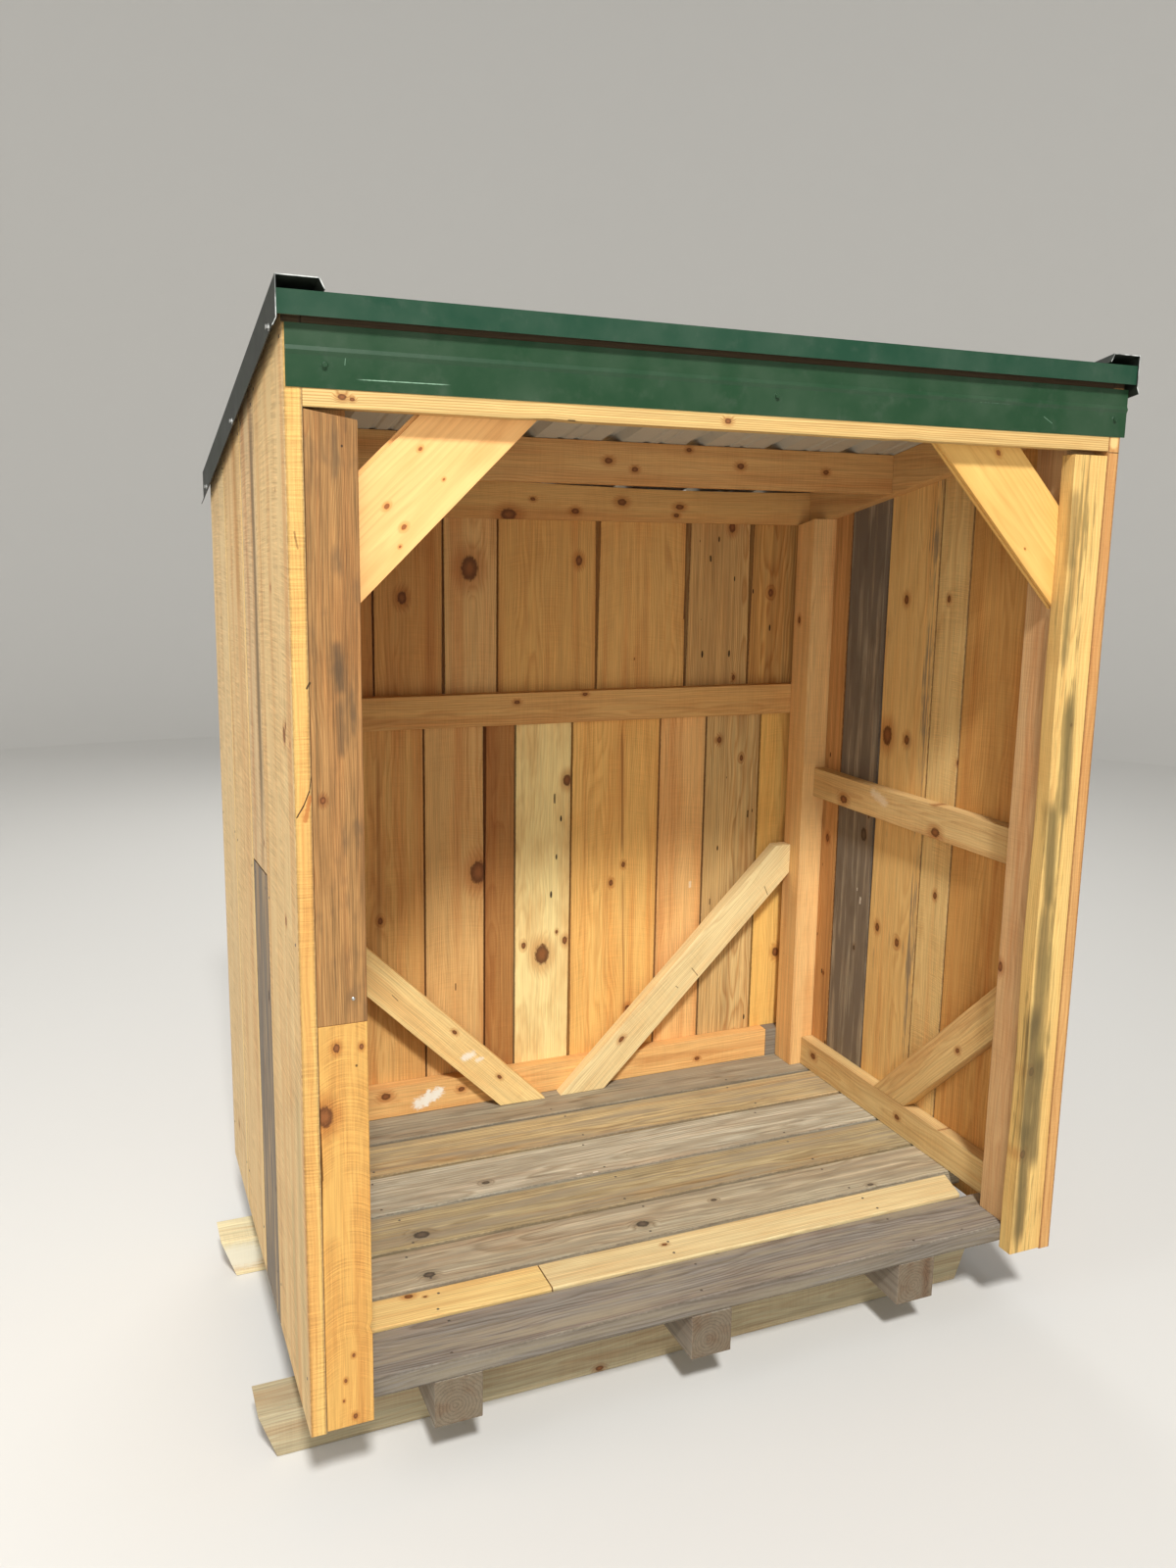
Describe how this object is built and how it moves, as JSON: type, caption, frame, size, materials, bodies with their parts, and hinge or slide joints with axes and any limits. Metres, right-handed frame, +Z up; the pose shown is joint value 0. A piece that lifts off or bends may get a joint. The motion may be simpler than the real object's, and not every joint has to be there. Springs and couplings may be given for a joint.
{
  "type": "log store",
  "caption": "Open-fronted timber log store on two skids, boarded on three sides, with braced corners and a single-pitch ribbed steel roof.",
  "frame": {"origin": "on the ground, under the middle of the store's bounding box", "axes": "+Z up, +X along the open front to the viewer's right, +Y from the open front to the back wall"},
  "size_m": [1.84, 1.228, 2.2251],
  "materials": {
    "skid_timber": "rough sawn, weathered, matte",
    "joist_timber": "rough sawn, weathered, matte",
    "deck_timber": "weathered grey boards, matte",
    "light_deck_timber": "fresh planed board, matte",
    "frame_timber": "sawn pine, matte",
    "grey_block_timber": "weathered offcut, matte",
    "header_timber": "planed pine, satin",
    "brace_timber": "sawn pine, matte",
    "tongue_and_groove_timber": "planed pine, satin",
    "brown_face_timber": "sawn and stained by weather, matte",
    "gold_face_timber": "sawn pine, matte",
    "siding_timber": "rough sawn boards, matte",
    "back_siding_timber": "rough sawn boards, matte",
    "fascia_steel": "folded, satin green paint",
    "eave_steel": "folded, satin green paint",
    "rake_steel": "folded, satin grey-green paint",
    "roof_steel": "ribbed, pale satin paint"
  },
  "bodies": {
    "root": {"front_skid": "skid_timber", "rear_skid": "skid_timber", "joist_left": "joist_timber", "joist_middle": "joist_timber", "joist_right": "joist_timber", "deck_front_board": "deck_timber", "deck_boards": "deck_timber", "deck_light_board_left": "light_deck_timber", "deck_light_board_right": "light_deck_timber", "front_left_post": "frame_timber", "front_right_post": "frame_timber", "rear_left_post": "frame_timber", "rear_right_post": "frame_timber", "left_bottom_plate": "frame_timber", "right_bottom_plate": "frame_timber", "back_bottom_plate": "frame_timber", "left_mid_girt": "frame_timber", "right_mid_girt": "frame_timber", "back_mid_girt": "frame_timber", "back_top_girt": "frame_timber", "left_rafter": "frame_timber", "right_rafter": "frame_timber", "purlin": "frame_timber", "front_batten": "frame_timber", "back_plate_block": "grey_block_timber", "header_beam": "header_timber", "back_brace_left": "brace_timber", "back_brace_right": "brace_timber", "left_wall_brace": "brace_timber", "right_wall_brace": "brace_timber", "corner_brace_left": "tongue_and_groove_timber", "corner_brace_right": "tongue_and_groove_timber", "face_board_left_upper": "brown_face_timber", "face_board_left_lower": "gold_face_timber", "face_board_right": "gold_face_timber", "left_wall_boards": "siding_timber", "right_wall_boards": "siding_timber", "back_boards_upper": "back_siding_timber", "back_boards_lower": "back_siding_timber", "fascia_trim": "fascia_steel", "eave_trim": "eave_steel", "rake_trim_left": "rake_steel", "rake_trim_right": "rake_steel", "roof_sheet": "roof_steel"}
  },
  "joints": []
}
